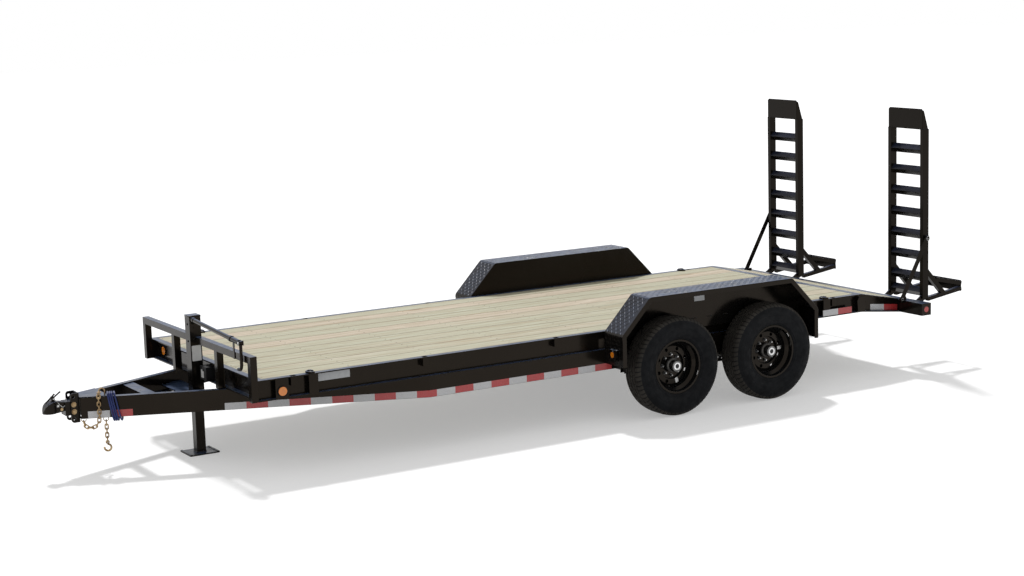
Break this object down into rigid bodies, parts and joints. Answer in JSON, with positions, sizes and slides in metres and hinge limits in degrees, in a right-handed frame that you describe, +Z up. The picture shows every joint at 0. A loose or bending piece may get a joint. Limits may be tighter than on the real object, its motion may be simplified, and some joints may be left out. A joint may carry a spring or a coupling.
{
  "type": "car transporter trailer",
  "caption": "Flat plank-deck car transporter trailer on tandem axles, with sloped tail, stand-up loading ramps, open-sided fenders, jack and ball coupler.",
  "frame": {"origin": "middle of the trailer's length on the ground, on its centre plane", "axes": "+X forward to the coupler, +Y to the trailer's left, +Z up"},
  "size_m": [7.823, 2.59, 2.215],
  "materials": {
    "amber_lens": "gloss",
    "axle_steel": "satin black",
    "black_plastic": "matt",
    "cable_jacket": "satin blue",
    "cast_black": "gloss black",
    "deck_wood": "bare treated pine",
    "frame_paint": "gloss black",
    "hub_steel": "semi-gloss",
    "jack_paint": "gloss black",
    "red_lens": "gloss",
    "spring_steel": "dark",
    "tyre_rubber": "matt",
    "wheel_paint": "gloss black",
    "zinc_gold": "gold zinc plate"
  },
  "bodies": {
    "chassis": {"amber_lights": "amber_lens", "axles": "axle_steel", "battery_box": "black_plastic", "cable_clamp": "black_plastic", "chain_keepers": "frame_paint", "coupler": "cast_black", "coupler_bolts": "zinc_gold", "coupler_bracket": "frame_paint", "coupler_latch": "frame_paint", "deck_boards": "deck_wood", "deck_crossmembers": "frame_paint", "dovetail_boards": "deck_wood", "equalizers": "frame_paint", "front_crossmember": "frame_paint", "headboard": "frame_paint", "jack_body": "jack_paint", "jack_crank": "jack_paint", "jack_leg": "jack_paint", "kink_strip": "frame_paint", "leaf_springs": "spring_steel", "left_fender": "frame_paint", "left_main_rail": "frame_paint", "left_tongue_rail": "frame_paint", "light_brackets": "frame_paint", "rear_bumper": "frame_paint", "red_lights": "red_lens", "right_fender": "frame_paint", "right_main_rail": "frame_paint", "right_tongue_rail": "frame_paint", "safety_chains": "zinc_gold", "spring_hangers": "frame_paint", "stake_pockets": "frame_paint", "tie_plates": "frame_paint", "tie_rings": "frame_paint", "tongue_plates": "frame_paint", "trailer_cable": "cable_jacket", "trailer_plug": "black_plastic"},
    "front_left_wheel_unit": {"front_left_hub": "hub_steel", "front_left_tyre": "tyre_rubber", "front_left_wheel": "wheel_paint"},
    "front_right_wheel_unit": {"front_right_hub": "hub_steel", "front_right_tyre": "tyre_rubber", "front_right_wheel": "wheel_paint"},
    "left_ramp_brace": {"left_brace": "frame_paint"},
    "left_ramp": {"left_ramp_frame": "frame_paint", "left_ramp_steps": "frame_paint"},
    "rear_left_wheel_unit": {"rear_left_hub": "hub_steel", "rear_left_tyre": "tyre_rubber", "rear_left_wheel": "wheel_paint"},
    "rear_right_wheel_unit": {"rear_right_hub": "hub_steel", "rear_right_tyre": "tyre_rubber", "rear_right_wheel": "wheel_paint"},
    "right_ramp_brace": {"right_brace": "frame_paint"},
    "right_ramp": {"right_ramp_frame": "frame_paint", "right_ramp_steps": "frame_paint"}
  },
  "joints": [
    {"name": "front_left_wheel_spin", "type": "hinge", "parent": "chassis", "child": "front_left_wheel_unit", "pos_m": [-0.728, 1.175, 0.391], "axis": [0, 1, 0], "continuous": true},
    {"name": "front_right_wheel_spin", "type": "hinge", "parent": "chassis", "child": "front_right_wheel_unit", "pos_m": [-0.728, -1.175, 0.391], "axis": [0, 1, 0], "continuous": true},
    {"name": "rear_left_wheel_spin", "type": "hinge", "parent": "chassis", "child": "rear_left_wheel_unit", "pos_m": [-1.66, 1.175, 0.391], "axis": [0, 1, 0], "continuous": true},
    {"name": "rear_right_wheel_spin", "type": "hinge", "parent": "chassis", "child": "rear_right_wheel_unit", "pos_m": [-1.66, -1.175, 0.391], "axis": [0, 1, 0], "continuous": true},
    {"name": "left_ramp_hinge", "type": "hinge", "parent": "chassis", "child": "left_ramp", "pos_m": [-3.4025, 0.835, 0.558], "axis": [0, -1, 0], "range_deg": [0, 105]},
    {"name": "left_brace_hinge", "type": "hinge", "parent": "chassis", "child": "left_ramp_brace", "pos_m": [-3.2005, 1.07675, 0.618], "axis": [0, 1, 0], "range_deg": [0, 118]},
    {"name": "right_ramp_hinge", "type": "hinge", "parent": "chassis", "child": "right_ramp", "pos_m": [-3.4025, -0.835, 0.558], "axis": [0, -1, 0], "range_deg": [0, 105]},
    {"name": "right_brace_hinge", "type": "hinge", "parent": "chassis", "child": "right_ramp_brace", "pos_m": [-3.2005, -1.07675, 0.618], "axis": [0, 1, 0], "range_deg": [0, 118]}
  ]
}
